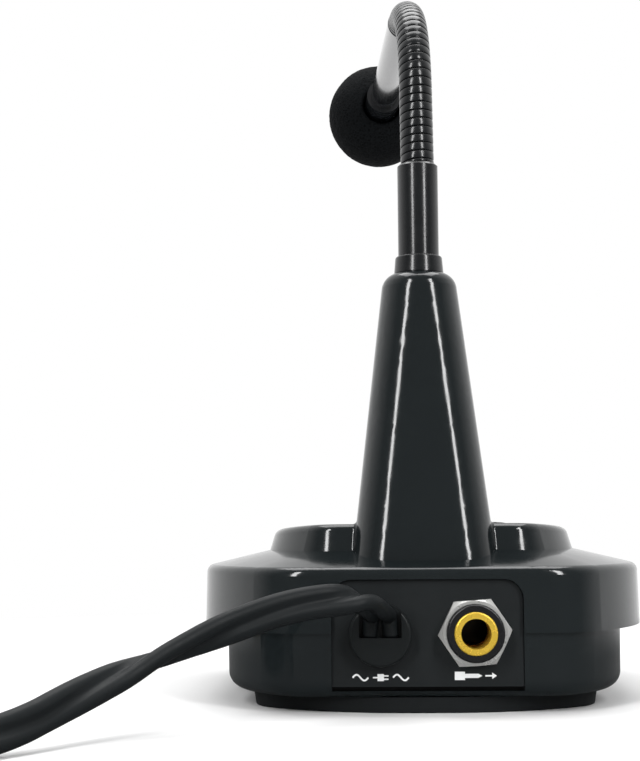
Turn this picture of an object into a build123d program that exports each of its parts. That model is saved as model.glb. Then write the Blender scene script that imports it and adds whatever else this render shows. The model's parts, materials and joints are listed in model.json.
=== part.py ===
from build123d import *
import os
from math import cos, pi, radians, sin, tan

# Gooseneck desk microphone, standing on its pad.  Millimetres, +Z up.
# Origin: centre of the pad's bottom face.  The user sits at -Y; the rear panel faces +Y.

# --- base housing -------------------------------------------------------------------------------
WALL = 2.2                  # moulded wall of both shells
FIT = 0.05                  # clearance between pieces that are fitted together
PAD_TOP = 3.5               # underside of the lower shell
FLOOR_TOP = PAD_TOP + 2.4   # inside face of the lower shell's floor
SPLIT_Z = 17.5              # upper shell's bottom edge
SHELF = 1.8                 # shelf inside that edge, over the lower shell
LIP = 1.3                   # thickness of the lower shell's lip, inside the shelf
RIM_Z = 31.5                # top of the upper shell's side wall
RIM_R = 2.0                 # rounding of that rim
PLINTH_FOOT_Z = 35.2
PLINTH_TOP_Z = 41.4         # rear edge of the control deck
PLINTH_TOP_R = 2.0
DECK_FALL = 3.0             # degrees, deck sloping down to the user
NOOK_R = 1.0                # inside rounding where the column and the plinth rise

# Plan outlines: half width, rear, front, half width of the flat rear, rear corner radius and its
# turn in degrees, front corner radius.
UPPER_PLAN = (52.9, 61.2, -61.2, 24.8, 18.0, 50.0, 30.0)
DRAFT = 0.3                 # the side wall leans in by this much at the rim
LOWER_PLAN = (46.3, 60.5, -56.5, 24.6, 16.0, 50.0, 28.0)
PAD_PLAN = (39.7, 58.0, -52.0, 4.0, 50.0, 38.0, 20.0)
PLINTH_FOOT_PLAN = (36.9, 48.0, -50.0, 20.0, 10.0, 50.0, 14.0)
PLINTH_INSET = 1.9          # the plinth's sides lean in by this much
LOWER_EDGE_R = 3.6          # rounding of the lower shell's bottom edge

# --- column, tubes and neck -----------------------------------------------------------------------
AXIS_Y = 36.0               # axis of the column top and of the tubes
COLUMN_FOOT = (32.6, 36.0, 9.0)     # width, depth, corner radius at COLUMN_FOOT_Z
COLUMN_FOOT_Z = 34.0
COLUMN_FOOT_Y = 37.0
COLUMN_TOP_D = 17.0
COLUMN_TOP_Z = 100.8
COLUMN_ROOF = 5.0           # thickness of the column's closed top
SHOULDER_R = 4.2
TUBE_OD = 9.7
TUBE_BORE_R = 3.4
TUBE_FOOT_Z = 86.0
TUBE_TOP_Z = 127.3
COLLAR_TOP_Z = 104.9
COLLAR_R = (5.9, 5.55)      # at its foot and at its top
NUT_FOOT_Z = 92.2           # nut that holds the tube, inside the column
NUT_R = 6.2
NECK_R = 4.0                # over the rings
NECK_CORE_R = 3.2
NECK_BORE_R = 1.6
LEAD_R = 1.1
NECK_TILT = 5.5             # degrees from vertical where the neck leaves the tube
NECK_YAW = 3.8              # degrees the neck is turned off the centre plane
NECK_STRAIGHT = 19.0        # straight stretch above the tube
NECK_BEND_R = 30.0
NECK_TOTAL = NECK_STRAIGHT + NECK_BEND_R * radians(90 - NECK_TILT)
NECK_LENGTHS = 7            # rigid lengths; the joints lie between them
JOINTS = NECK_LENGTHS - 1
JOINT_PITCH = NECK_TOTAL / JOINTS
JOINT_AT = [JOINT_PITCH * (k + 0.5) for k in range(JOINTS)]
JOINT_GAP = 1.5             # between the lengths at a joint
RINGS = 5                   # rings on each length between two joints
RING_W = 1.5
NECK_SEAT = 8.0             # how far the neck sits in a tube

# --- boom and head --------------------------------------------------------------------------------
# Distances along the boom are from the tube's axis.
UP = Vector(0, 0, 1)
FORWARD = Vector(sin(radians(NECK_YAW)), -cos(radians(NECK_YAW)), 0)
STEM_OD = 8.2
STEM_BORE_R = 3.4
STEM_END = 108.1
HOUSING_OD = 10.6
HOUSING_BORE_R = 4.9
HOUSING_LAP = 9.0           # how far the housing reaches over the stem
HOUSING_END = 126.1
SLOTS = 8                   # vents round the housing
CAPSULE = (118.1, 123.1, 4.5)       # back, front, radius
GRILLE = (124.7, 125.5)
GRILLE_HOLES = ((0.0, 1), (1.6, 6), (3.3, 12))      # ring radius and number of holes on it
FOAM_CENTRE = 122.5
FOAM_R = 16.4

# --- rear panel -----------------------------------------------------------------------------------
PANEL_Y = 60.0              # outer face
PANEL_T = 1.9
PANEL_HALF_W = 20.85
PANEL_Z = (6.0, 29.1)
PANEL_CORNER_R = 4.4
PANEL_LIP = 2.15            # the panel's flange behind the shells' wall
OPENING_Z = 5.0             # the shells' opening starts below the panel, as a slot
JACK_X, JACK_Z = -10.3, 17.6
JACK_BORE_R = 3.25
JACK_SLEEVE_R = 4.68
JACK_BUSH_R = 6.25
JACK_BUSH_Y = (55.4, 64.6)
JACK_BODY = (15.0, 24.4, 14.4)      # contact housing: width, depth, height
JACK_WALL = 1.8
NUT_FLAT_R = 7.0            # half the 14 mm across flats
NUT_T = 2.3
NUT_TURN = 4.0              # degrees
RELIEF_X, RELIEF_Z = 10.3, 17.3
RELIEF_R = 6.8
RELIEF_Y = (50.0, 55.6, 63.4)       # inner end, shoulder and outer face
RELIEF_SLOT = 4.6           # half width of the slot that the cord rises from

# --- screws, weight, transformer and board ----------------------------------------------------------
SCREW_POINTS = [(x, y) for x in (-34.0, 34.0) for y in (-36.0, 34.0)]
SCREW_HEAD_Z = (7.0, 9.0)
BOSS_MEET = 18.9            # where the screw bosses of the two shells meet
WEIGHT = (58.0, 76.0, 4.0)
WEIGHT_Y = -14.0
BOARD = (54.0, 56.0, 1.6)
BOARD_Y = -17.0
BOARD_Z = 26.5              # underside of the circuit board
BOARD_TOP = BOARD_Z + BOARD[2]
BOARD_POINTS = [(x, BOARD_Y + y) for x in (-23.5, 23.5) for y in (-24.5, 24.5)]
CORE = (34.0, 28.0)         # transformer core, width and depth
CORE_Y = -22.0
CORE_Z = (FLOOR_TOP + WEIGHT[2], 21.9)
CORE_WINDOW_X = 8.5         # middle of the core's windows
WINDING_TOP = 25.4

# --- controls on the deck -------------------------------------------------------------------------
TALK = (36.0, 15.0, 2.35)   # talk button: width, depth, height above the deck
TALK_Y = -33.0
KNOB_X, KNOB_Y = -17.0, -12.0
KNOB_R, KNOB_H = 7.2, 2.6
FLUTES = 18
SHAFT_R = 2.98
POT_Z = (-6.3, -2.3)        # can of the potentiometer, below the deck's surface
ROCKER_X, ROCKER_Y = 17.0, -12.0
ROCKER = (9.0, 15.0)
ROCKER_TILT = 8.0
ROCKER_PIVOT = -2.0         # below the deck's surface
LAMP_Y = -14.0
LAMP_R = 1.5

# --- mains cord -----------------------------------------------------------------------------------
CORD_R = 2.65               # round tube with the section of the flat 7.0 x 3.6 cord
COIL_CENTRE = (143.0, 92.0)
COIL_R = 38.0               # middle of the turns
COIL_W, COIL_H = 17.0, 15.0
CORD_ROUTE = [
    (10.3, 61.0, 21.4), (10.3, 67.8, 22.0), (14.8, 74.5, 26.0), (28.5, 78.5, 24.8), (42.0, 83.0, 20.2),
    (55.0, 88.5, 14.9), (67.5, 101.0, 9.4), (79.0, 120.5, 3.5), (94.0, 133.0, 2.65), (111.0, 137.6, 2.65),
    (127.5, 136.6, 2.65)]
TAIL_ROUTE = [(186.6, 75.5, 9.0), (185.6, 67.0, 8.0), (182.0, 58.0, 7.2), (179.5, 49.0, 7.0)]
PLUG_BODY = (22.0, 26.0, 13.0)      # width, length, thickness
PLUG_NECK = 9.0             # tapered end that the cord enters
BLADE = (1.5, 17.0, 6.35)   # thickness, length, width
BLADE_SPACING = 12.7

# --- leads inside the base --------------------------------------------------------------------------
MAINS_LEADS = [(RELIEF_X + 6.0, 47.0, 13.0), (22.0, 36.0, 12.5), (24.0, 10.0, 12.5), (20.5, -12.0, 13.5)]
OUTPUT_LEADS = [(JACK_X - 2.0, 25.8, 13.4), (-14.0, 19.0, 14.6), (-19.0, 14.0, 19.0), (-21.0, 13.0, 26.0)]
MICROPHONE_LEAD = [
    (0, AXIS_Y, 118.0), (0, AXIS_Y + 0.3, 92.0), (0, AXIS_Y - 3.0, 60.0), (2.0, 25.5, 35.5), (4.0, 10.0, 29.5)]

parts = {}


# --- helpers --------------------------------------------------------------------------------------
def plan(outline, inset=0.0):
    """Closed outline of the base seen from above; flat rear, two-radius corners, rounded nose."""
    half_w, rear, front, flat, corner_r, turn, nose_r = outline
    half_w, rear, front = half_w - inset, rear - inset, front + inset
    corner_r, nose_r = corner_r - inset, nose_r - inset
    flank_r = (half_w - flat - corner_r * sin(radians(turn))) / (1 - sin(radians(turn)))
    back = Line((0, rear), (flat, rear))
    corner = JernArc(back @ 1, back % 1, corner_r, -turn)
    flank = JernArc(corner @ 1, corner % 1, flank_r, turn - 90)
    side = Line(flank @ 1, (half_w, front + nose_r))
    nose = JernArc(side @ 1, side % 1, nose_r, -90)
    toe = Line(nose @ 1, (0, front))
    half = Curve() + [back, corner, flank, side, nose, toe]
    return make_face(half + mirror(half, about=Plane.YZ))


def stack(*sections):
    """Solid with straight sides between plan outlines, each given as (outline, inset, height)."""
    return loft([Pos(0, 0, z) * plan(outline, inset) for outline, inset, z in sections], ruled=True)


def rod(radius, y0, y1, x=0.0, z=0.0):
    """Cylinder along Y."""
    return Pos(x, (y0 + y1) / 2, z) * Rot(90, 0, 0) * Cylinder(radius, abs(y1 - y0))


def drum(radius, z0, z1, x=0.0, y=0.0):
    """Cylinder along Z."""
    return Pos(x, y, (z0 + z1) / 2) * Cylinder(radius, z1 - z0)


def block(x0, x1, y0, y1, z0, z1):
    return Pos((x0 + x1) / 2, (y0 + y1) / 2, (z0 + z1) / 2) * Box(x1 - x0, y1 - y0, z1 - z0)


def prism(width, height, corner_r, y0, y1, x, z):
    """Plate facing Y with rounded corners."""
    outline = RectangleRounded(width, height, corner_r)
    return extrude(Plane(origin=(x, y1, z), x_dir=(1, 0, 0), z_dir=(0, -1, 0)) * outline, y1 - y0)


def top_edges(solid, axis=Axis.Z):
    """Edges of the face furthest along an axis."""
    return solid.faces().sort_by(axis)[-1].edges()


def bottom_edges(solid):
    return solid.faces().sort_by(Axis.Z)[0].edges()


def soften(solid, edges, radius):
    """Fillet that leaves the solid as it is where the rounding doesn't fit."""
    try:
        return fillet(edges, radius)
    except Exception:
        print("not rounded:", radius)
        return solid


def group(make, points):
    """One node's worth of separate solids, one at each point."""
    return Compound([solid for x, y in points for solid in make(x, y).solids()])


def corner_radii(points):
    """Largest even arcs: 0.45 of the shorter run over the tangent of half the turn."""
    radii = []
    for a, b, c in zip(points, points[1:], points[2:]):
        run_in, run_out = Vector(*b) - Vector(*a), Vector(*c) - Vector(*b)
        turn = radians(run_in.get_angle(run_out))
        radii.append(0.45 * min(run_in.length, run_out.length) / tan(turn / 2))
    return radii


def tube_along(points, radius, label):
    """Round tube on straight runs joined by tangent arcs."""
    radii = corner_radii(points)
    path = FilletPolyline(*points, radius=radii)
    section = Plane(origin=path @ 0, z_dir=path % 0) * Circle(radius)
    solid = sweep(section, path=path)
    ratio = solid.volume / (pi * radius ** 2 * path.length)
    print(label, "length %.1f" % path.length, "radii", [round(r, 1) for r in radii], "volume %.4f" % ratio)
    return solid


# --- base housing -----------------------------------------------------------------------------------
def deck_plane(x=0.0, y=0.0, lift=0.0):
    """Plane on the control deck, x along the row's X axis, z out of the deck."""
    fall = radians(DECK_FALL)
    rear_y = PLINTH_FOOT_PLAN[1] - PLINTH_INSET
    height = PLINTH_TOP_Z - (rear_y - y) * tan(fall)
    normal = Vector(0, -sin(fall), cos(fall))
    return Plane(origin=Vector(x, y, height) + normal * lift, x_dir=(1, 0, 0), z_dir=normal)


def on_deck(x, y, solid, lift=0.0):
    """The solid, moved from the world's origin to a point on the deck."""
    return deck_plane(x, y, lift).location * solid


def column(inset, foot_z, top_z):
    """Tapering column: rounded square at the foot, round at the top."""
    height = COLUMN_TOP_Z - COLUMN_FOOT_Z

    def section(z):
        share = (z - COLUMN_FOOT_Z) / height
        width, depth, corner = COLUMN_FOOT
        across = width + (COLUMN_TOP_D - width) * share - 2 * inset
        deep = depth + (COLUMN_TOP_D - depth) * share - 2 * inset
        rounding = corner + (COLUMN_TOP_D / 2 - 0.02 - corner) * share - inset
        y = COLUMN_FOOT_Y + (AXIS_Y - COLUMN_FOOT_Y) * share
        return Pos(0, y, z) * RectangleRounded(across, deep, rounding)

    return loft([section(foot_z), section(top_z)])


def upper_form(inset, bottom):
    """Dome and plinth of the upper shell; inset by the wall they give the hollow inside."""
    foot = (PLINTH_FOOT_PLAN, inset, PLINTH_FOOT_Z - inset)
    body = stack((UPPER_PLAN, inset, bottom), (UPPER_PLAN, inset + DRAFT, RIM_Z - inset), foot)
    over_deck = 1.4
    lean = PLINTH_INSET * (1 + over_deck / (PLINTH_TOP_Z - PLINTH_FOOT_Z))
    plinth = stack((PLINTH_FOOT_PLAN, inset, RIM_Z - 2 * inset), foot,
                   (PLINTH_FOOT_PLAN, inset + lean, PLINTH_TOP_Z + over_deck - inset))
    above = Pos(0, 0, 20) * Box(200, 200, 40)
    plinth -= deck_plane(lift=-inset).location * above
    return body, plinth


def make_upper_outside():
    """Outside of the upper shell, solid throughout."""
    body, plinth = upper_form(0.0, SPLIT_Z)
    rim = body.edges().filter_by(lambda e: abs(e.center().Z - RIM_Z) < 0.01 and abs(e @ 0 - e @ 1) > 0.5)
    body = soften(body, rim, RIM_R)
    plinth = soften(plinth, top_edges(plinth), PLINTH_TOP_R)
    post = column(0.0, COLUMN_FOOT_Z - 1, COLUMN_TOP_Z)
    post = soften(post, top_edges(post), SHOULDER_R)
    raised = plinth + post
    nooks = [e for e in raised.edges() if is_nook(e, post)]
    raised = soften(raised, nooks, NOOK_R)
    return body + raised


def is_nook(edge, post):
    """True on the line where the column leaves the plinth's top."""
    middle = edge.position_at(0.5)
    on_top = middle.Z > PLINTH_TOP_Z - 6 and middle.Y < 47
    return on_top and post.distance_to(middle) < 0.01 and middle.Z < PLINTH_TOP_Z + 1


def make_upper_shell():
    shell = make_upper_outside()
    hollow_body, hollow_plinth = upper_form(WALL, SPLIT_Z - 1)
    shell -= hollow_body
    shell -= hollow_plinth
    shell -= column(WALL, COLUMN_FOOT_Z - 2, COLUMN_TOP_Z - COLUMN_ROOF)
    shell -= drum(TUBE_OD / 2 + FIT, COLUMN_TOP_Z - 2 * COLUMN_ROOF, COLUMN_TOP_Z + 1, y=AXIS_Y)
    shelf = stack((UPPER_PLAN, 0.0, SPLIT_Z), (UPPER_PLAN, 0.05, SPLIT_Z + SHELF))
    shell += shelf - stack((LOWER_PLAN, WALL, SPLIT_Z - 1), (LOWER_PLAN, WALL, SPLIT_Z + SHELF + 1))
    for x, y in SCREW_POINTS:
        shell += drum(3.4, BOSS_MEET + 0.1, 33.4, x, y) - drum(1.2, BOSS_MEET, 31.0, x, y)
    for x, y in BOARD_POINTS:
        under_deck = deck_plane(x, y).origin.Z - 1.2
        shell += drum(2.6, BOARD_TOP, under_deck, x, y) - drum(0.9, BOARD_Z, 35.0, x, y)
    shell -= panel_opening()
    for cut in deck_openings():
        shell -= cut
    return shell


def panel_opening():
    """Opening through both shells' rear wall; the panel is set into it from inside."""
    width = 2 * (PANEL_HALF_W + 0.1)
    top = PANEL_Z[1] + 0.1
    face = prism(width, top + 10, PANEL_CORNER_R, PANEL_Y - PANEL_T - 0.1, 66.0, 0.0, (top - 10) / 2)
    return face & block(-width, width, 50, 70, OPENING_Z, top)


def deck_openings():
    """Cuts through the deck for the talk button, knob bush, rocker and lamp."""
    depth = 12.0
    down = Pos(0, 0, -depth / 2 + 1)
    yield on_deck(0, TALK_Y, down * Box(TALK[0] + 0.8, TALK[1] + 0.8, depth))
    yield on_deck(KNOB_X, KNOB_Y, down * Cylinder(3.8, depth))
    yield on_deck(ROCKER_X, ROCKER_Y, down * Box(ROCKER[0] + 2.1, ROCKER[1] + 2.1, depth))
    yield on_deck(0, LAMP_Y, down * Cylinder(LAMP_R + 0.1, depth))


def make_lower_shell():
    outer = stack((LOWER_PLAN, 0.25, PAD_TOP), (LOWER_PLAN, 0.0, SPLIT_Z))
    outer = soften(outer, bottom_edges(outer), LOWER_EDGE_R)
    shell = outer - stack((LOWER_PLAN, WALL, FLOOR_TOP), (LOWER_PLAN, WALL, SPLIT_Z + 1))
    lip = stack((LOWER_PLAN, WALL - 0.1, SPLIT_Z - 4), (LOWER_PLAN, WALL - 0.1, SPLIT_Z - 0.1))
    lip += stack((LOWER_PLAN, WALL + 0.1, SPLIT_Z - 0.1), (LOWER_PLAN, WALL + 0.1, SPLIT_Z + SHELF))
    lip -= stack((LOWER_PLAN, WALL + 0.1 + LIP, SPLIT_Z - 5), (LOWER_PLAN, WALL + 0.1 + LIP, SPLIT_Z + 5))
    beside_panel = PANEL_HALF_W + 2.55
    shell += lip - block(-beside_panel, beside_panel, 50, 62, 0, 30)
    for x, y in SCREW_POINTS:
        shell += drum(4.2, PAD_TOP + 1, BOSS_MEET, x, y)
        shell -= drum(1.7, PAD_TOP - 1, 20.0, x, y)
        shell -= drum(3.1, PAD_TOP - 1, SCREW_HEAD_Z[1], x, y)
    shell -= block(-PANEL_HALF_W, PANEL_HALF_W, 54, 59, OPENING_Z, FLOOR_TOP + 1)
    return shell - panel_opening()


def make_case_screw(x, y):
    low, high = SCREW_HEAD_Z
    head = drum(2.9, low, high - FIT, x, y) - Pos(x, y, low) * Box(3.6, 0.8, 1.6)
    return head + drum(1.15, high - FIT, 27.0, x, y)


def make_base_pad():
    pad = stack((PAD_PLAN, 0.6, 0.0), (PAD_PLAN, 0.0, PAD_TOP))
    return soften(pad, bottom_edges(pad), 0.4)


def make_base_weight():
    width, depth, thick = WEIGHT
    plate = extrude(Pos(0, WEIGHT_Y, FLOOR_TOP) * RectangleRounded(width, depth, 6), thick)
    return chamfer(top_edges(plate), 0.5)


# --- rear panel and what it carries -------------------------------------------------------------------
def make_rear_panel():
    z0, z1 = PANEL_Z
    inner = PANEL_Y - PANEL_T
    face = prism(2 * PANEL_HALF_W, z1 + 10, PANEL_CORNER_R, inner, PANEL_Y, 0.0, (z1 - 10) / 2)
    face &= block(-30, 30, 50, 70, z0, z1)
    flange = PANEL_HALF_W + PANEL_LIP
    panel = face + block(-flange, flange, inner - 1.5, inner, FLOOR_TOP + 0.2, z1)
    panel -= rod(JACK_BUSH_R + FIT, 50, 70, JACK_X, JACK_Z)
    return panel - rod(5.9, 50, 70, RELIEF_X, RELIEF_Z)


def make_jack_body():
    """Threaded bush through the panel and the contact housing behind it."""
    back, front = JACK_BUSH_Y
    bush = rod(JACK_BUSH_R, back, front, JACK_X, JACK_Z)
    bush = soften(bush, top_edges(bush, Axis.Y), 0.5)
    for y in (front - 1.8, front - 1.0):
        groove = rod(JACK_BUSH_R + 0.4, y, y + 0.45, JACK_X, JACK_Z)
        bush -= groove - rod(JACK_BUSH_R - 0.3, y - 1, y + 2, JACK_X, JACK_Z)
    half_w, depth, half_h = JACK_BODY[0] / 2, JACK_BODY[1], JACK_BODY[2] / 2
    housing = block(JACK_X - half_w, JACK_X + half_w, back - depth, back, JACK_Z - half_h, JACK_Z + half_h)
    inner_w, inner_h = half_w - JACK_WALL, half_h - JACK_WALL
    hollow = block(JACK_X - inner_w, JACK_X + inner_w, back - depth + JACK_WALL, back - 1.4,
                   JACK_Z - inner_h, JACK_Z + inner_h)
    body = bush + housing - hollow - rod(JACK_SLEEVE_R + 0.04, 50, 66, JACK_X, JACK_Z)
    for side in (-1, 1):
        x, z = JACK_X + side * 2, JACK_Z + side * 4.4
        body -= block(x - 1.2, x + 1.2, 30, 34, z - 0.4, z + 0.4)
    return body


def make_jack_sleeve():
    sleeve = rod(JACK_SLEEVE_R, 53.0, 65.0, JACK_X, JACK_Z)
    sleeve = soften(sleeve, top_edges(sleeve, Axis.Y), 0.4)
    return sleeve - rod(JACK_BORE_R, 50, 66, JACK_X, JACK_Z)


def make_jack_nut():
    hexagon = RegularPolygon(NUT_FLAT_R, 6, major_radius=False, rotation=NUT_TURN)
    nut = extrude(Plane(origin=(JACK_X, PANEL_Y, JACK_Z), x_dir=(1, 0, 0), z_dir=(0, 1, 0)) * hexagon, NUT_T)
    cone = Pos(JACK_X, PANEL_Y + 1.0, JACK_Z) * Rot(-90, 0, 0) * Cone(9.3, NUT_FLAT_R, 2.6)
    return (nut & cone) - rod(JACK_BUSH_R + FIT, 55, 70, JACK_X, JACK_Z)


def make_jack_contacts():
    """Tip and ring springs either side of the plug's way, and their solder lugs."""
    springs = []
    for side, y_tip in ((-1, 35.5), (1, 40.5)):
        z = JACK_Z + side * 4.4
        leaf = block(JACK_X - 1.6, JACK_X + 1.6, y_tip, 52.6, z - 0.25, z + 0.25)
        lug = block(JACK_X + side * 2 - 1.0, JACK_X + side * 2 + 1.0, 27.0, 52.6, z - 0.25, z + 0.25)
        springs += (leaf + lug).solids()
    return Compound(springs)


def make_strain_relief():
    """Round bushing with a slot, open at the top, that turns the cord upwards."""
    inner, shoulder, outer = RELIEF_Y
    flange = rod(RELIEF_R, PANEL_Y, outer, RELIEF_X, RELIEF_Z)
    flange = soften(flange, top_edges(flange, Axis.Y), 0.6)
    slot_floor = RELIEF_Z - 0.6
    left, right = RELIEF_X - RELIEF_SLOT, RELIEF_X + RELIEF_SLOT
    flange -= block(left, right, PANEL_Y + 1, 70, slot_floor, RELIEF_Z + 10)
    flange -= block(left + 0.4, right - 0.4, PANEL_Y + 1, outer - 0.8, slot_floor - 1.2, RELIEF_Z)
    neck = rod(5.8, shoulder, PANEL_Y, RELIEF_X, RELIEF_Z)
    tail = rod(6.2, inner, shoulder, RELIEF_X, RELIEF_Z) - block(0, 30, inner - 1, 56, RELIEF_Z, 40)
    return flange + neck + tail


def make_relief_key():
    """Half-round key that presses the cord into the bushing, inside the panel."""
    inner, shoulder, _ = RELIEF_Y
    key = rod(6.0, inner + 0.4, shoulder - 0.2, RELIEF_X, RELIEF_Z)
    return key & block(0, 30, inner - 1, 56, RELIEF_Z + 1.4, 40)


# --- column top, tubes and neck -------------------------------------------------------------------------
def make_neck_collar():
    foot_r, top_r = COLLAR_R
    height = COLLAR_TOP_Z - COLUMN_TOP_Z
    ring = Pos(0, AXIS_Y, COLUMN_TOP_Z + height / 2) * Cone(foot_r, top_r, height)
    ring = soften(ring, top_edges(ring), 0.6)
    return ring - drum(TUBE_OD / 2 + FIT, 90, 110, y=AXIS_Y)


def make_neck_tube():
    tube = drum(TUBE_OD / 2, TUBE_FOOT_Z, TUBE_TOP_Z, y=AXIS_Y)
    tube = chamfer(top_edges(tube), 0.5)
    return tube - drum(TUBE_BORE_R, 80, 130, y=AXIS_Y) - tilted_seat()


def tilted_seat():
    """Bore in which the neck's foot sits, leaning with the neck."""
    seat = Plane(origin=neck_point(-NECK_SEAT - 0.3), z_dir=neck_dir(0))
    return seat.location * (Pos(0, 0, 10) * Cylinder(NECK_CORE_R + 0.35, 20))


def make_neck_nut():
    nut = drum(NUT_R, NUT_FOOT_Z, COLUMN_TOP_Z - COLUMN_ROOF - FIT, y=AXIS_Y)
    return nut - drum(TUBE_OD / 2 + FIT, 80, 110, y=AXIS_Y)


def neck_lean(s):
    """Lean from vertical, in radians, at length s along the neck above the tube."""
    bent = min(max(s - NECK_STRAIGHT, 0.0), NECK_TOTAL - NECK_STRAIGHT)
    return radians(NECK_TILT) + bent / NECK_BEND_R


def neck_dir(s):
    lean = neck_lean(s)
    return UP * cos(lean) + FORWARD * sin(lean)


def neck_point(s):
    """Point on the neck's centre line; the line runs on straight at both ends."""
    foot = Vector(0, AXIS_Y, TUBE_TOP_Z) + neck_dir(0) * min(s, NECK_STRAIGHT)
    tilt, lean = neck_lean(0), neck_lean(s)
    reach = FORWARD * (NECK_BEND_R * (cos(tilt) - cos(lean)) + max(s - NECK_TOTAL, 0.0))
    return foot + reach + UP * (NECK_BEND_R * (sin(lean) - sin(tilt)))


def neck_path(s0, s1):
    """Centre line between two lengths along the neck, as lines and one arc."""
    marks = [s0] + [s for s in (NECK_STRAIGHT, NECK_TOTAL) if s0 + 0.01 < s < s1 - 0.01] + [s1]
    pieces = []
    for a, b in zip(marks, marks[1:]):
        if a >= NECK_STRAIGHT - 0.01 and b <= NECK_TOTAL + 0.01:
            pieces.append(ThreePointArc(neck_point(a), neck_point((a + b) / 2), neck_point(b)))
        else:
            pieces.append(Line(neck_point(a), neck_point(b)))
    return Wire([p.edge() for p in pieces])


def along_neck(s0, s1, radius):
    """Round bar that follows the neck's centre line."""
    section = Plane(origin=neck_point(s0), z_dir=neck_dir(s0)) * Circle(radius)
    return sweep(section, path=neck_path(s0, s1))


def neck_span(index):
    """Start and end of one rigid length, clear of the joints at its ends."""
    start = -NECK_SEAT if index == 0 else JOINT_AT[index - 1] + JOINT_GAP / 2
    end = NECK_TOTAL + NECK_SEAT if index == JOINTS else JOINT_AT[index] - JOINT_GAP / 2
    return start, end


def make_neck_length(index):
    """Core of one rigid length with the wound band's turns as rings round it."""
    start, end = neck_span(index)
    body = along_neck(start, end, NECK_CORE_R)
    first = max(start, 0.3)
    last = min(end, NECK_TOTAL - 0.3)
    count = RINGS if 0 < index < JOINTS else RINGS // 2
    step = (last - first - RING_W) / (count - 1)
    for k in range(count):
        middle = first + RING_W / 2 + k * step
        ring = fillet(Cylinder(NECK_R, RING_W).edges(), 0.5)
        body += Plane(origin=neck_point(middle), z_dir=neck_dir(middle)).location * ring
    return body - along_neck(start - 0.5, end + 0.5, NECK_BORE_R)


def make_neck_lead(index):
    start, end = neck_span(index)
    return along_neck(start + 0.3, end - 0.3, LEAD_R)


# --- boom and head --------------------------------------------------------------------------------------
def boom_plane(distance):
    """Plane across the boom, x up, z along it."""
    origin = Vector(0, AXIS_Y, neck_point(NECK_TOTAL).Z) + FORWARD * distance
    return Plane(origin=origin, x_dir=UP, z_dir=FORWARD)


def on_boom(radius, start, end):
    """Cylinder along the boom between two distances from the tube's axis."""
    return boom_plane((start + end) / 2).location * Cylinder(radius, end - start)


def make_stem():
    start = (neck_point(NECK_TOTAL) - boom_plane(0).origin).dot(FORWARD)
    stem = on_boom(STEM_OD / 2, start, STEM_END)
    stem = chamfer(stem.edges().filter_by(GeomType.CIRCLE), 0.4)
    return stem - on_boom(STEM_BORE_R, start - 1, STEM_END + 1)


def make_capsule_housing():
    """Thin tube that holds the capsule, slotted on its sides."""
    housing = on_boom(HOUSING_OD / 2, STEM_END - HOUSING_LAP, HOUSING_END)
    housing -= on_boom(STEM_OD / 2 + FIT, STEM_END - HOUSING_LAP - 1, STEM_END + FIT)
    housing -= on_boom(2.0, STEM_END - 1, STEM_END + 3.1)
    housing -= on_boom(HOUSING_BORE_R, STEM_END + 3, HOUSING_END + 1)
    across = boom_plane(STEM_END + 6.2).location
    for k in range(SLOTS // 2):
        housing -= across * Rot(0, 0, 360 / SLOTS * k) * Box(1.2, 20, 4.0)
    return housing


def make_capsule():
    back, front, radius = CAPSULE
    can = on_boom(radius, back, front)
    return chamfer(can.edges(), 0.25)


def make_capsule_boot():
    """Rubber cup round the capsule."""
    back, front, radius = CAPSULE
    return on_boom(HOUSING_BORE_R - FIT, back - 0.8, front + 0.2) - on_boom(radius + FIT, back - FIT, front + 1)


def make_capsule_grille():
    """Pierced disc in the mouth of the housing."""
    disc = on_boom(HOUSING_BORE_R - FIT, *GRILLE)
    across = boom_plane(sum(GRILLE) / 2).location
    for ring_r, count in GRILLE_HOLES:
        for k in range(count):
            turn = 2 * pi * k / count
            disc -= across * Pos(ring_r * cos(turn), ring_r * sin(turn), 0) * Cylinder(0.5, 3)
    return disc


def make_windscreen():
    ball = Pos(*boom_plane(FOAM_CENTRE).origin) * Sphere(FOAM_R)
    return ball - on_boom(HOUSING_OD / 2 + 0.3, FOAM_CENTRE - 2 * FOAM_R, HOUSING_END + 0.6)


# --- inside the base -------------------------------------------------------------------------------------
def make_transformer_core():
    """Laminated core with two windows that the winding passes through."""
    half_w, half_d = CORE[0] / 2, CORE[1] / 2
    core = block(-half_w, half_w, CORE_Y - half_d, CORE_Y + half_d, *CORE_Z)
    for x in (-CORE_WINDOW_X, CORE_WINDOW_X):
        core -= block(x - 3.0, x + 3.0, CORE_Y - 9.0, CORE_Y + 9.0, 0, 30)
    return core


def make_transformer_winding():
    reach = CORE_WINDOW_X + 2.8
    coil = block(-reach, reach, CORE_Y - 8.8, CORE_Y + 8.8, CORE_Z[1] + 0.1, WINDING_TOP)
    for x in (-CORE_WINDOW_X, CORE_WINDOW_X):
        coil += block(x - 2.8, x + 2.8, CORE_Y - 8.8, CORE_Y + 8.8, CORE_Z[0] + 0.2, WINDING_TOP)
    return coil


def make_transformer_bracket():
    """Strap over one end of the core, with a foot on each side."""
    y0, y1 = CORE_Y + 10.2, CORE_Y + 13.0
    half_w = CORE[0] / 2
    strap = block(-half_w - 1.6, half_w + 1.6, y0, y1, CORE_Z[0], CORE_Z[1] + 1.2)
    strap -= block(-half_w - FIT, half_w + FIT, y0 - 1, y1 + 1, 0, CORE_Z[1] + FIT)
    foot = block(-half_w - 7.0, -half_w - 1.6, y0, y1, CORE_Z[0], CORE_Z[0] + 1.2)
    return strap + foot + mirror(foot, about=Plane.YZ)


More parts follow.
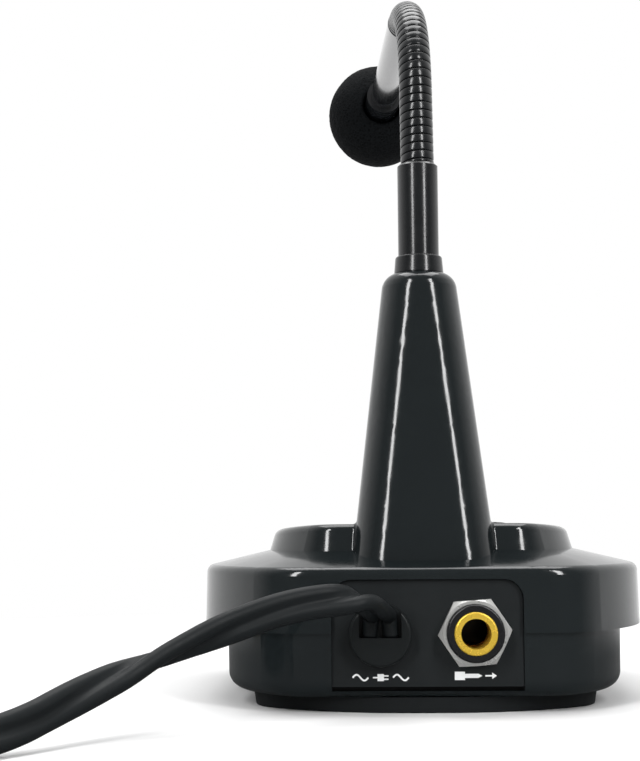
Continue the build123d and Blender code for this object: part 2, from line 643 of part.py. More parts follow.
def make_circuit_board():
    half_w, half_d = BOARD[0] / 2, BOARD[1] / 2
    board = block(-half_w, half_w, BOARD_Y - half_d, BOARD_Y + half_d, BOARD_Z, BOARD_TOP)
    for x, y in BOARD_POINTS:
        board -= drum(1.3, 0, 40, x, y)
    return board


def make_board_screw(x, y):
    head = drum(2.2, BOARD_Z - 1.3 - FIT, BOARD_Z - FIT, x, y) - Pos(x, y, BOARD_Z - 1.3) * Box(2.8, 0.6, 1.0)
    return head + drum(0.85, BOARD_Z - FIT, BOARD_Z + 7, x, y)


def make_board_parts():
    """Capacitors, a terminal block and an amplifier chip on the board's top face."""
    pieces = [drum(2.5, BOARD_TOP, BOARD_TOP + 5.5, x, 5.0) for x in (-8.0, -2.0, 4.0)]
    pieces.append(block(-22, -12, -30.5, -25.5, BOARD_TOP, BOARD_TOP + 3.2))
    pieces.append(block(12, 22, -31.0, -24.0, BOARD_TOP, BOARD_TOP + 3.2))
    return Compound(pieces)


def make_talk_button():
    """Button with a skirt below the deck and a short plunger over the switch."""
    width, depth, height = TALK
    lift = -WALL - 0.15
    cap = extrude(RectangleRounded(width, depth, 3.0), height - lift)
    cap = fillet(top_edges(cap), 1.0)
    skirt = Pos(0, 0, -0.6) * Box(width + 3.0, depth + 3.0, 1.2)
    plunger = Pos(0, 0, -1.9) * Cylinder(2.4, 1.5)
    return on_deck(0, TALK_Y, cap + skirt + plunger, lift)


def make_talk_switch():
    return block(-3.0, 3.0, TALK_Y - 3.0, TALK_Y + 3.0, BOARD_TOP, BOARD_TOP + 2.3)


def make_volume_knob():
    """Low knob with a fluted skirt and a pointer notch in its top."""
    knob = Cylinder(KNOB_R, KNOB_H, align=(Align.CENTER, Align.CENTER, Align.MIN))
    knob = fillet(top_edges(knob), 0.6)
    for k in range(FLUTES):
        knob -= Rot(0, 0, 360 / FLUTES * k) * Pos(KNOB_R + 0.5, 0, KNOB_H / 2) * Cylinder(0.9, KNOB_H + 1)
    knob -= Pos(0, 5.0, KNOB_H) * Box(0.9, 4.0, 0.8)
    knob -= Pos(0, 0, 0.6) * Cylinder(SHAFT_R + 0.02, 2.2)
    return on_deck(KNOB_X, KNOB_Y, knob, lift=0.4)


def make_volume_shaft():
    shaft = Pos(0, 0, -2.1) * Cylinder(SHAFT_R, 7.8)
    return on_deck(KNOB_X, KNOB_Y, shaft)


def make_volume_pot():
    """Potentiometer: round can under the deck, threaded bush up through it."""
    low, high = POT_Z
    can = Pos(0, 0, (low + high) / 2) * Cylinder(8.0, high - low)
    bush = Pos(0, 0, high / 2 - 0.1) * Cylinder(3.7, -high + 0.2)
    pot = can + bush - Pos(0, 0, -2.4) * Cylinder(SHAFT_R + 0.07, 7.6)
    for x in (-3.0, 0.0, 3.0):
        pot += Pos(x, -6.5, low - 0.8) * Box(0.8, 0.8, 2.4)
    return on_deck(KNOB_X, KNOB_Y, pot)


def make_power_rocker():
    """Rocker at rest in its off position, tipped about its pivot."""
    top = Pos(0, 0, 0.9) * Box(ROCKER[0] - 0.5, ROCKER[1] - 1.6, 5.0)
    dish = Pos(0, 0, 33.0) * Rot(0, 90, 0) * Cylinder(30.4, 20)
    rocker = (top - dish) - Rot(0, 90, 0) * Cylinder(0.9, 20)
    return on_deck(ROCKER_X, ROCKER_Y, Rot(ROCKER_TILT, 0, 0) * rocker, ROCKER_PIVOT)


def make_power_switch():
    """Frame of the rocker switch, its pivot pin and its contact housing below the deck."""
    width, depth = ROCKER
    frame = Pos(0, 0, 0.6) * Box(width + 4.5, depth + 4.5, 1.2)
    frame = fillet(top_edges(frame), 0.5)
    well = Pos(0, 0, -4.0) * Box(width + 1.9, depth + 1.9, 8.0)
    hollow = Pos(0, 0, -2.5) * Box(width - 0.1, depth - 0.1, 8.2)
    pin = Pos(0, 0, ROCKER_PIVOT) * Rot(0, 90, 0) * Cylinder(0.85, width + 1.0)
    return on_deck(ROCKER_X, ROCKER_Y, frame + well - hollow + pin)


def make_power_lamp():
    lamp = Pos(0, 0, -3.0) * Cylinder(LAMP_R, 6.6) + Pos(0, 0, 0.3) * Sphere(LAMP_R)
    return on_deck(0, LAMP_Y, lamp + Pos(0, 0, -4.4) * Cylinder(LAMP_R + 0.4, 3.0))


# --- mains cord ------------------------------------------------------------------------------------------
def make_cord_coil():
    """Outer shape of the wound-up length, lying on the surface that the pad stands on."""
    upright = (Align.CENTER, Align.CENTER, Align.MIN)
    ring = Cylinder(COIL_R + COIL_W / 2, COIL_H, align=upright)
    ring -= Cylinder(COIL_R - COIL_W / 2, COIL_H, align=upright)
    ring = fillet(ring.edges().filter_by(GeomType.CIRCLE), 3.0)
    return Pos(*COIL_CENTRE, 0) * ring


def plug_frame():
    """Plane at the cord's end of the plug, z along the plug towards its blades."""
    end, before = Vector(*TAIL_ROUTE[-1]), Vector(*TAIL_ROUTE[-2])
    along = Vector(end.X - before.X, end.Y - before.Y, 0)
    return Plane(origin=end, x_dir=along.cross(Vector(0, 0, -1)), z_dir=along)


def make_plug_body():
    width, length, thick = PLUG_BODY
    grip = extrude(RectangleRounded(width, thick, 4.0), length)
    grip = fillet(top_edges(grip), 1.0)
    neck = loft([Pos(0, 0, -PLUG_NECK) * RectangleRounded(7.4, 6.0, 2.0),
                 RectangleRounded(width - 5, thick - 2, 4.0)])
    return plug_frame().location * Pos(0, 0, PLUG_NECK) * (grip + neck)


def make_plug_blades():
    thick, length, width = BLADE
    middle = PLUG_NECK + PLUG_BODY[1] + length / 2
    blades = [plug_frame().location * Pos(side * BLADE_SPACING / 2, 0, middle) * Box(thick, width, length)
              for side in (-1, 1)]
    return Compound([solid for blade in blades for solid in blade.solids()])


parts["upper_shell"] = make_upper_shell()
parts["lower_shell"] = make_lower_shell()
parts["rear_panel"] = make_rear_panel()
parts["base_pad"] = make_base_pad()
parts["base_weight"] = make_base_weight()
parts["case_screws"] = group(make_case_screw, SCREW_POINTS)
parts["jack_body"] = make_jack_body()
parts["jack_sleeve"] = make_jack_sleeve()
parts["jack_nut"] = make_jack_nut()
parts["jack_contacts"] = make_jack_contacts()
parts["strain_relief"] = make_strain_relief()
parts["strain_relief_key"] = make_relief_key()
parts["neck_collar"] = make_neck_collar()
parts["neck_tube"] = make_neck_tube()
parts["neck_nut"] = make_neck_nut()
for n in range(NECK_LENGTHS):
    parts["neck_length_%d" % (n + 1)] = make_neck_length(n)
    parts["neck_lead_%d" % (n + 1)] = make_neck_lead(n)
parts["stem"] = make_stem()
parts["capsule_housing"] = make_capsule_housing()
parts["capsule"] = make_capsule()
parts["capsule_boot"] = make_capsule_boot()
parts["capsule_grille"] = make_capsule_grille()
parts["windscreen"] = make_windscreen()
parts["transformer_core"] = make_transformer_core()
parts["transformer_winding"] = make_transformer_winding()
parts["transformer_bracket"] = make_transformer_bracket()
parts["circuit_board"] = make_circuit_board()
parts["board_parts"] = make_board_parts()
parts["board_screws"] = group(make_board_screw, BOARD_POINTS)
parts["talk_button"] = make_talk_button()
parts["talk_switch"] = make_talk_switch()
parts["volume_knob"] = make_volume_knob()
parts["volume_shaft"] = make_volume_shaft()
parts["volume_pot"] = make_volume_pot()
parts["power_rocker"] = make_power_rocker()
parts["power_switch"] = make_power_switch()
parts["power_lamp"] = make_power_lamp()
parts["mains_leads"] = tube_along(MAINS_LEADS, 1.3, "mains_leads")
parts["output_leads"] = tube_along(OUTPUT_LEADS, 0.9, "output_leads")
parts["microphone_lead"] = tube_along(MICROPHONE_LEAD, LEAD_R, "microphone_lead")
parts["mains_cord"] = tube_along(CORD_ROUTE, CORD_R, "mains_cord")
parts["mains_cord_coil"] = make_cord_coil()
parts["mains_cord_tail"] = tube_along(TAIL_ROUTE, CORD_R, "mains_cord_tail")
parts["plug_body"] = make_plug_body()
parts["plug_blades"] = make_plug_blades()

os.makedirs("parts", exist_ok=True)
for name, shape in parts.items():
    export_step(shape, "parts/%s.step" % name)

for k, s in enumerate(JOINT_AT):
    p, d = neck_point(s), neck_dir(s)
    print("neck joint %d at %.3f %.3f %.3f, along %.4f %.4f %.4f" % (k + 1, p.X, p.Y, p.Z, d.X, d.Y, d.Z))
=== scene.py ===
import json
import math

import bmesh
import bpy
import numpy as np
from mathutils import Matrix, Vector, noise


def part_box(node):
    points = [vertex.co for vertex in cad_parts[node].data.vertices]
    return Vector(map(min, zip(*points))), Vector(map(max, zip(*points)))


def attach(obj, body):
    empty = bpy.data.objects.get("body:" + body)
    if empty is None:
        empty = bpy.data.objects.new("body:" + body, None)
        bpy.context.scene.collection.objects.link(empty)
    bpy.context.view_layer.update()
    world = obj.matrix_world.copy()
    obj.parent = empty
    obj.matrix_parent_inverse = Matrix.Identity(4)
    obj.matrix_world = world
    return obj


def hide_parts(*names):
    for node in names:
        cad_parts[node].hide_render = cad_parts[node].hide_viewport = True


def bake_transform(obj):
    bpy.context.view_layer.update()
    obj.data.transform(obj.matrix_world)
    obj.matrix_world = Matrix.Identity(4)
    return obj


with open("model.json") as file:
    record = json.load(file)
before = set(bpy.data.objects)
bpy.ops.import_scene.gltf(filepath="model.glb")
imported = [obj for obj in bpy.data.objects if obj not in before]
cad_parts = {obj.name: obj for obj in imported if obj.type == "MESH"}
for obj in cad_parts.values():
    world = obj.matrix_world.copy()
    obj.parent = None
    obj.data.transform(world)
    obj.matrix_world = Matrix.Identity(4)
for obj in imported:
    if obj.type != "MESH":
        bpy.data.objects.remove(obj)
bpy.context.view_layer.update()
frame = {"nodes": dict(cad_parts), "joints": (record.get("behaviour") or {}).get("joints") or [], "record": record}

nodes = frame["nodes"]
MM = 0.001


def mm(*values):
    return Vector(values) * MM


# --- camera -------------------------------------------------------------------------------------
# Behind the microphone, just above the table, looking slightly up.
FRAME_H = 761.0
FOCAL_PX = 1500.0
CAMERA_AT = mm(12.05, 391.5, 41.0)
CAMERA_YAW = 1.9            # degrees towards +X
CAMERA_PITCH = 5.53         # degrees up
CAMERA_ROLL = -0.42

lens = bpy.data.cameras.new("camera")
lens.lens = FOCAL_PX * lens.sensor_width / FRAME_H
lens.clip_start = 0.01
camera = bpy.data.objects.new("camera", lens)
bpy.context.scene.collection.objects.link(camera)
bpy.context.scene.camera = camera
yaw, pitch, roll = (math.radians(a) for a in (CAMERA_YAW, CAMERA_PITCH, CAMERA_ROLL))
ahead = Vector((math.sin(yaw) * math.cos(pitch), -math.cos(yaw) * math.cos(pitch), math.sin(pitch)))
right = ahead.cross(Vector((0, 0, 1))).normalized()
above = right.cross(ahead)
turn = Matrix((right, above, -ahead)).transposed().to_4x4()
camera.matrix_world = Matrix.Translation(CAMERA_AT) @ turn @ Matrix.Rotation(roll, 4, "Z")


# --- mesh helpers -------------------------------------------------------------------------------
def piece(name, verts, faces, smooth=True):
    """New object from points in metres."""
    mesh = bpy.data.meshes.new(name)
    mesh.from_pydata([tuple(v) for v in verts], [], [tuple(f) for f in faces])
    mesh.validate()
    bm = bmesh.new()
    bm.from_mesh(mesh)
    bmesh.ops.remove_doubles(bm, verts=bm.verts, dist=1e-7)
    bmesh.ops.recalc_face_normals(bm, faces=bm.faces)
    bm.to_mesh(mesh)
    bm.free()
    mesh.polygons.foreach_set("use_smooth", [smooth] * len(mesh.polygons))
    obj = bpy.data.objects.new(name, mesh)
    bpy.context.scene.collection.objects.link(obj)
    return obj


def grid_faces(rows, columns, closed_columns=True):
    """Quads between rows of points; a closed row's last point joins its first."""
    faces = []
    for r in range(rows - 1):
        for c in range(columns if closed_columns else columns - 1):
            d = (c + 1) % columns
            faces.append((r * columns + c, r * columns + d, (r + 1) * columns + d, (r + 1) * columns + c))
    return faces


# --- mains cord ---------------------------------------------------------------------------------
CORD_W, CORD_T = 7.0, 3.6
COIL_CENTRE = (143.0, 92.0)
COIL_COLUMNS = (43.0, 38.6, 34.2)
COIL_LAYERS = (3.7, 10.9)
COIL_START = math.radians(84)
COIL_SHORT = 0.74           # share of a turn left out, so that the coil ends where the tail begins
LANE_CHANGE = 0.25          # share of a turn in which the cord moves to the next lane
TURN_POINTS = 14
WAVER = 0.5                 # mm that the turns stray from true circles
GROOVE_HALF_W, GROOVE_LEVEL = 0.35, 0.62        # the groove's level is a share of a core's radius
ROUTE = [
    (10.3, 61.0, 21.4), (10.3, 67.8, 22.0), (14.8, 74.5, 26.0), (28.5, 78.5, 24.8), (42.0, 83.0, 20.2),
    (55.0, 88.5, 14.9), (67.5, 101.0, 9.4), (79.0, 120.5, 3.5), (94.0, 133.0, 2.65), (111.0, 137.6, 2.65),
    (127.5, 136.6, 2.65)]
TAIL = [(186.6, 75.5, 9.0), (185.6, 67.0, 8.0), (182.0, 58.0, 7.2), (179.5, 49.0, 7.0)]


def coil_points():
    """Two layers of three turns: inwards along the table, then outwards on top."""
    lanes = [(r, COIL_LAYERS[0]) for r in COIL_COLUMNS]
    lanes += [(r, COIL_LAYERS[1]) for r in reversed(COIL_COLUMNS)]
    turns = len(lanes) - COIL_SHORT
    points = []
    for k in range(int(turns * TURN_POINTS) + 1):
        through = k / TURN_POINTS
        lane = min(int(through), len(lanes) - 1)
        following = lanes[min(lane + 1, len(lanes) - 1)]
        share = max(0.0, (through - lane - (1 - LANE_CHANGE)) / LANE_CHANGE)
        share = share * share * (3 - 2 * share)
        radius = lanes[lane][0] + (following[0] - lanes[lane][0]) * share
        radius += WAVER * math.sin(2.3 * through)
        height = lanes[lane][1] + (following[1] - lanes[lane][1]) * share
        angle = COIL_START - 2 * math.pi * through
        x = COIL_CENTRE[0] + radius * math.cos(angle)
        y = COIL_CENTRE[1] + radius * math.sin(angle)
        points.append((x, y, height))
    return points


def spline(name, points):
    """NURBS curve with the points as control points, in metres."""
    curve = bpy.data.curves.new(name, "CURVE")
    curve.dimensions = "3D"
    line = curve.splines.new("NURBS")
    line.points.add(len(points) - 1)
    for point, place in zip(line.points, points):
        point.co = (*mm(*place), 1.0)
    line.order_u = 3
    line.use_endpoint_u = True
    line.resolution_u = 16
    obj = bpy.data.objects.new(name, curve)
    bpy.context.scene.collection.objects.link(obj)
    return obj


def line_of(curve_object):
    mesh = bpy.data.meshes.new_from_object(curve_object)
    return np.array([v.co for v in mesh.vertices])


def flat_section():
    """Outline of two cores side by side with a groove between them, across then thick, in mm."""
    r = CORD_T / 2
    offset = CORD_W / 2 - r
    outline = []
    for a in np.linspace(-110, 110, 15):
        outline.append((offset + r * math.cos(math.radians(a)), r * math.sin(math.radians(a))))
    outline.append((GROOVE_HALF_W, r * GROOVE_LEVEL))
    outline.append((-GROOVE_HALF_W, r * GROOVE_LEVEL))
    for a in np.linspace(70, 290, 15):
        outline.append((-offset + r * math.cos(math.radians(a)), r * math.sin(math.radians(a))))
    outline.append((-GROOVE_HALF_W, -r * GROOVE_LEVEL))
    outline.append((GROOVE_HALF_W, -r * GROOVE_LEVEL))
    return np.array(outline)


def unit(v):
    return v / np.linalg.norm(v)


def cord_mesh(name, line, guides):
    """Flat cord along a line; guides are (metres along the line, direction of the cord's width)."""
    tangents = np.gradient(line, axis=0)
    run = np.concatenate([[0], np.cumsum(np.linalg.norm(np.diff(line, axis=0), axis=1))])
    section = flat_section() * MM
    rows = []
    marks = np.array([g[0] for g in guides])
    widths = np.array([unit(np.array(g[1], float)) for g in guides])
    for place, tangent, s in zip(line, tangents, run):
        t = unit(tangent)
        wish = np.array([np.interp(s, marks, widths[:, i]) for i in range(3)])
        wide = unit(wish - t * wish.dot(t))
        thick = np.cross(t, wide)
        rows.append(place + section[:, :1] * wide + section[:, 1:] * thick)
    count = len(section)
    verts = np.concatenate(rows)
    faces = grid_faces(len(rows), count)
    faces.append(tuple(range(count))[::-1])
    faces.append(tuple((len(rows) - 1) * count + i for i in range(count)))
    return piece(name, verts, faces)


route_curve = spline("cord_route", ROUTE + coil_points()[1:] + TAIL)
cord_line = line_of(route_curve)
bpy.data.objects.remove(route_curve)
# How the flat cord lies: metres from the strain relief, and which way its width points.
GUIDES = [
    (0.0, (1, 0, 0)), (0.012, (1, 0, 0.1)), (0.026, (0.3, -0.1, 1)), (0.042, (0.2, 0.25, 1)),
    (0.056, (0, 1, 0.35)), (0.070, (-0.2, 0.8, -0.65)), (0.090, (0, 0.1, -1)), (0.104, (-0.3, 0.3, -1)),
    (0.124, (-0.6, 0.75, -0.33)), (0.165, (-0.1, 1, -0.3)), (0.19, (0, 0.5, -1)), (0.22, (0, 0, -1))]
mains_cord = cord_mesh("mains_lead", cord_line, GUIDES)
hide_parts("mains_cord", "mains_cord_coil", "mains_cord_tail")
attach(mains_cord, "base")

# --- gooseneck ----------------------------------------------------------------------------------
# A straight stretch and an arc, with the same sizes as the rigid lengths; the joints lie evenly along it.
NECK_R = 4.0
BAND_PITCH = 2.05
BAND_STEPS = 48             # points per turn of the wound band
TUBE_TOP_Z = 127.3
NECK_TILT, NECK_YAW = math.radians(5.5), math.radians(3.8)
NECK_STRAIGHT, NECK_BEND_R = 19.0, 30.0
BAND_OVERRUN = 0.3          # mm that the band reaches into the tube and over the stem
AXIS_Y = 36.0
FORWARD = np.array((math.sin(NECK_YAW), -math.cos(NECK_YAW), 0.0))
ASIDE = np.array((math.cos(NECK_YAW), math.sin(NECK_YAW), 0.0))
UP = np.array((0.0, 0.0, 1.0))
NECK_TOTAL = NECK_STRAIGHT + NECK_BEND_R * (math.pi / 2 - NECK_TILT)
NECK_JOINTS = [j for j in frame["joints"] if j["name"].startswith("neck_")]
JOINT_PITCH = NECK_TOTAL / len(NECK_JOINTS)
# One turn of the band: share of the pitch, and how far below the neck's radius in mm.
BAND_PROFILE = [
    (0.0, -0.5), (0.03, -0.46), (0.055, -0.16), (0.09, -0.045), (0.15, -0.005), (0.5, 0.0),
    (0.85, -0.005), (0.91, -0.045), (0.945, -0.16), (0.97, -0.46), (1.0, -0.5)]


def neck_at(s):
    """Point, tangent and in-plane normal of the neck's centre line at length s, in mm."""
    lean = NECK_TILT + min(max(s - NECK_STRAIGHT, 0.0), NECK_TOTAL - NECK_STRAIGHT) / NECK_BEND_R
    start = UP * math.cos(NECK_TILT) + FORWARD * math.sin(NECK_TILT)
    place = np.array((0.0, AXIS_Y, TUBE_TOP_Z)) + start * min(s, NECK_STRAIGHT)
    if s > NECK_STRAIGHT:
        place = place + FORWARD * (NECK_BEND_R * (math.cos(NECK_TILT) - math.cos(lean)))
        place = place + UP * (NECK_BEND_R * (math.sin(lean) - math.sin(NECK_TILT)))
    place = place + FORWARD * max(s - NECK_TOTAL, 0.0)
    tangent = UP * math.cos(lean) + FORWARD * math.sin(lean)
    return place, tangent, np.cross(ASIDE, tangent)


def neck_skin(index):
    """The wound band round one joint, from the middle of one rigid length to the middle of the next."""
    def boundary(k):
        return round((JOINT_PITCH * k / BAND_PITCH - 0.5) * BAND_STEPS)

    first = -BAND_STEPS if index == 0 else boundary(index)
    last = boundary(index + 1)
    if index == len(NECK_JOINTS) - 1:
        last += BAND_STEPS
    verts = []
    for step in range(first, last + 1):
        turns = step / BAND_STEPS
        angle = -2 * math.pi * turns
        for share, sunk in BAND_PROFILE:
            s = min(max((turns + share) * BAND_PITCH, -BAND_OVERRUN), NECK_TOTAL + BAND_OVERRUN)
            place, _, normal = neck_at(s)
            outward = math.cos(angle) * ASIDE + math.sin(angle) * normal
            verts.append((place + (NECK_R + sunk) * outward) * MM)
    rows, columns = last - first + 1, len(BAND_PROFILE)
    skin = piece("gooseneck_band_%d" % (index + 1), verts, grid_faces(rows, columns, closed_columns=False))
    bm = bmesh.new()
    bm.from_mesh(skin.data)
    bmesh.ops.dissolve_degenerate(bm, dist=1e-6, edges=bm.edges)
    bm.to_mesh(skin.data)
    bm.free()
    skin.data.polygons.foreach_set("use_smooth", [True] * len(skin.data.polygons))
    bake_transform(skin)
    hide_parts("neck_length_%d" % (index + 1))
    return skin


neck_skins = [neck_skin(k) for k in range(len(NECK_JOINTS))]
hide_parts("neck_length_%d" % (len(NECK_JOINTS) + 1))

# --- foam windscreen ----------------------------------------------------------------------------
FOAM_ROWS, FOAM_COLUMNS = 150, 240
FOAM_BORE_R = 5.9
FOAM_BORE_DEPTH = 6.0
FOAM_INSET = 0.25           # keeps the lumps inside the CAD ball
FOAM_MOUTH_EXTRA = 0.8      # the bore's mouth is this much wider than the bore


def make_foam():
    """Lumpy ball with a blind bore for the capsule housing."""
    low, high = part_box("windscreen")
    centre = (low + high) / 2 / MM
    radius = (high.z - low.z) / 2 / MM - FOAM_INSET
    mouth = math.asin((FOAM_BORE_R + FOAM_MOUTH_EXTRA) / radius)
    verts = []
    for row in range(FOAM_ROWS + 1):
        polar = (math.pi - mouth) * row / FOAM_ROWS
        for column in range(FOAM_COLUMNS):
            around = 2 * math.pi * column / FOAM_COLUMNS
            out = math.cos(polar) * FORWARD
            out = out + math.sin(polar) * (math.cos(around) * ASIDE + math.sin(around) * UP)
            lumps = noise.fractal(Vector(out * radius / 0.8), 1.0, 2.0, 3)
            swell = noise.noise(Vector(out * radius / 9.0))
            verts.append((np.array(centre) + out * (radius + 0.09 * lumps + 0.12 * swell)) * MM)
    rim = math.cos(mouth) * radius
    bore_rings = ((0.45, FOAM_BORE_R + 0.2), (1.2, FOAM_BORE_R), (FOAM_BORE_DEPTH, FOAM_BORE_R),
                  (FOAM_BORE_DEPTH, 0.2))
    for inward, bore in bore_rings:
        for column in range(FOAM_COLUMNS):
            around = 2 * math.pi * column / FOAM_COLUMNS
            out = math.cos(around) * ASIDE + math.sin(around) * UP
            verts.append((np.array(centre) - FORWARD * (rim - inward) + out * bore) * MM)
    ball = piece("foam_ball", verts, grid_faces(FOAM_ROWS + 5, FOAM_COLUMNS))
    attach(ball, "boom")
    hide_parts("windscreen")
    return ball


foam_ball = make_foam()

# --- printed marks ------------------------------------------------------------------------------
MARK_Y = 60.03
WAVE_LINE = 0.38            # width of the sine waves' line


def stroke(points, width):
    """Flat ribbon along points in the panel's plane."""
    points = [np.array(p, float) for p in points]
    left, other = [], []
    for k, point in enumerate(points):
        way = unit(points[min(k + 1, len(points) - 1)] - points[max(k - 1, 0)])
        side = np.array((-way[1], way[0])) * width / 2
        left.append(point + side)
        other.append(point - side)
    verts = [p for pair in zip(left, other) for p in pair]
    faces = [(2 * k, 2 * k + 1, 2 * k + 3, 2 * k + 2) for k in range(len(points) - 1)]
    return verts, faces


def polygon(*points):
    return [np.array(p, float) for p in points], [tuple(range(len(points)))]


def bar(u0, u1, v0, v1):
    return polygon((u0, v0), (u1, v0), (u1, v1), (u0, v1))


def wave(u0, length, height):
    """One period of a sine wave."""
    steps = 20
    points = [(u0 + length * k / steps, height * math.sin(2 * math.pi * k / steps))
              for k in range(steps + 1)]
    return stroke(points, WAVE_LINE)


def print_mark(name, x, z, shapes):
    """White ink just proud of the rear panel; u runs to the right as seen from behind."""
    verts, faces = [], []
    for points, outlines in shapes:
        faces += [tuple(i + len(verts) for i in face) for face in outlines]
        verts += [mm(x - u, MARK_Y, z + v) for u, v in points]
    mark = piece(name, verts, faces, smooth=False)
    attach(mark, "base")
    return mark


def two_pin_plug(u):
    """Body, two pins to the right and a cord to the left."""
    body = bar(u - 0.9, u + 0.5, -0.75, 0.75)
    pins = [bar(u + 0.5, u + 1.5, 0.2, 0.5), bar(u + 0.5, u + 1.5, -0.5, -0.2)]
    return [body, *pins, bar(u - 1.9, u - 0.9, -0.15, 0.15)]


def jack_plug():
    """Handle, shaft and tip of a jack plug."""
    tip = polygon((0.6, -0.45), (1.5, 0.0), (0.6, 0.45))
    return [bar(-4.5, -2.3, -0.9, 0.9), bar(-2.3, 0.6, -0.45, 0.45), tip]


def arrow():
    return [bar(2.1, 3.6, -0.16, 0.16), polygon((3.6, -0.7), (4.6, 0.0), (3.6, 0.7))]


marks = [
    print_mark("mark_mains", 10.3, 8.0, [wave(-6.1, 3.4, 0.62), *two_pin_plug(0.2), wave(2.7, 3.4, 0.62)]),
    print_mark("mark_output", -10.3, 8.3, [*jack_plug(), *arrow()])]


# --- cord details -------------------------------------------------------------------------------
def swept(name, line, radius, sides=16):
    """Round bar along points in mm, closed at both ends, with radius a number or one per point."""
    line = np.array(line, float)
    radii = np.broadcast_to(radius, len(line))
    tangents = np.gradient(line, axis=0)
    verts = []
    side = unit(np.cross(tangents[0], (0.0, 0.3, 1.0)))
    for place, tangent, r in zip(line, tangents, radii):
        t = unit(tangent)
        side = unit(side - t * side.dot(t))
        other = np.cross(t, side)
        verts += [(place + r * (math.cos(a) * side + math.sin(a) * other)) * MM
                  for a in np.linspace(0, 2 * math.pi, sides, endpoint=False)]
    faces = grid_faces(len(line), sides)
    faces += [tuple(range(sides))[::-1], tuple((len(line) - 1) * sides + i for i in range(sides))]
    return piece(name, verts, faces)


RELIEF_X = 10.3
CORE_APART = 2.35           # from the slot's middle to a core's, at the bottom
CORE_CLOSING = 0.5          # how much nearer the cores are at the top
CORE_FOOT = (61.25, 16.9)   # Y and Z where the cores start
CORE_LEAN, CORE_RISE = 1.0, 5.0
CORE_R = 1.75


def make_conductors():
    """The cord's two cores where they rise side by side in the strain relief's slot."""
    cores = []
    for k, side in enumerate((-1, 1)):
        line = [(RELIEF_X + side * (CORE_APART - CORE_CLOSING * t),
                 CORE_FOOT[0] + CORE_LEAN * t * t,
                 CORE_FOOT[1] + CORE_RISE * t) for t in np.linspace(0, 1, 12)]
        core = swept("relief_core_%d" % (k + 1), line, CORE_R)
        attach(core, "base")
        cores.append(core)
    return cores


TIE_MID_Z = 7.9
TIE_R, TIE_END_R = 0.55, 0.45
TIE_END_FROM, TIE_END_LENGTH = 8.6, 5.0
TIE_WIND_R, TIE_WIND_TURN, TIE_SPLAY = 0.5, 9.0, 1.5


def make_coil_tie(name, angle):
    """Twisted wire tie round the coil's section, with its two ends wound together outside."""
    half_w, half_h, corner = 8.4, 7.2, 3.2
    loop = []
    for quarter in range(4):
        cx = (half_w - corner) * (1 if quarter in (0, 3) else -1)
        cz = (half_h - corner) * (1 if quarter in (0, 1) else -1)
        for a in np.linspace(quarter * 90, quarter * 90 + 90, 7):
            loop.append((cx + corner * math.cos(math.radians(a)), cz + corner * math.sin(math.radians(a))))
    loop.append(loop[0])
    out = np.array((math.cos(angle), math.sin(angle), 0.0))
    centre = np.array((*COIL_CENTRE, TIE_MID_Z)) + out * COIL_COLUMNS[1]
    band = swept(name + "_band", [centre + out * u + UP * v for u, v in loop], TIE_R, 10)
    along = np.cross(UP, out)
    twists = []
    for k, start in enumerate((0.0, math.pi)):
        line = []
        for t in np.linspace(0, 1, 24):
            wound = start + TIE_WIND_TURN * t
            point = centre + out * (TIE_END_FROM + TIE_END_LENGTH * t)
            point = point + TIE_WIND_R * (math.cos(wound) * along + math.sin(wound) * UP)
            line.append(point + along * (TIE_SPLAY * t * t * (1 if k else -1)))
        twists.append(swept("%s_end_%d" % (name, k + 1), line, TIE_END_R, 10))
    for obj in [band, *twists]:
        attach(obj, "base")
    return [band, *twists]


conductors = make_conductors()
ties = make_coil_tie("tie_front", math.radians(-70)) + make_coil_tie("tie_back", math.radians(115))

# --- materials ----------------------------------------------------------------------------------
class Nodes:
    """Short-hand for building a material's node tree."""

    def __init__(self, name):
        self.material = bpy.data.materials.new(name)
        self.material.use_nodes = True
        self.tree = self.material.node_tree
        self.shader = self.tree.nodes["Principled BSDF"]
        self.place = self.add("ShaderNodeTexCoord").outputs["Object"]

    def add(self, kind, **settings):
        node = self.tree.nodes.new(kind)
        for key, value in settings.items():
            if key in node.inputs:
                node.inputs[key].default_value = value
            else:
                setattr(node, key, value)
        return node

    def link(self, source, node, socket):
        self.tree.links.new(source, node.inputs[socket])

    def noise(self, size_mm, detail=3.0, rough=0.5):
        """Noise whose lumps are about size_mm across."""
        node = self.add("ShaderNodeTexNoise", Scale=1000.0 / size_mm, Detail=detail, Roughness=rough)
        self.link(self.place, node, "Vector")
        return node.outputs["Fac"]

    def spread(self, source, low, high, start=0.3, end=0.7):
        node = self.add("ShaderNodeMapRange")
        for socket, value in (("From Min", start), ("From Max", end), ("To Min", low), ("To Max", high)):
            node.inputs[socket].default_value = value
        self.link(source, node, "Value")
        return node.outputs["Result"]

    def mix(self, factor, a, b):
        node = self.add("ShaderNodeMix", data_type="RGBA")
        self.link(factor, node, "Factor")
        node.inputs[6].default_value = (*a, 1.0)
        node.inputs[7].default_value = (*b, 1.0)
        return node.outputs[2]

    def bump(self, heights):
        """Bump from (height source, depth in mm) pairs."""
        normal = None
        for source, depth in heights:
            node = self.add("ShaderNodeBump", Strength=1.0, Distance=depth * MM)
            self.link(source, node, "Height")
            if normal is not None:
                self.link(normal, node, "Normal")
            normal = node.outputs["Normal"]
        self.link(normal, self.shader, "Normal")


def shaded(colour, factor):
    return tuple(c * factor for c in colour)


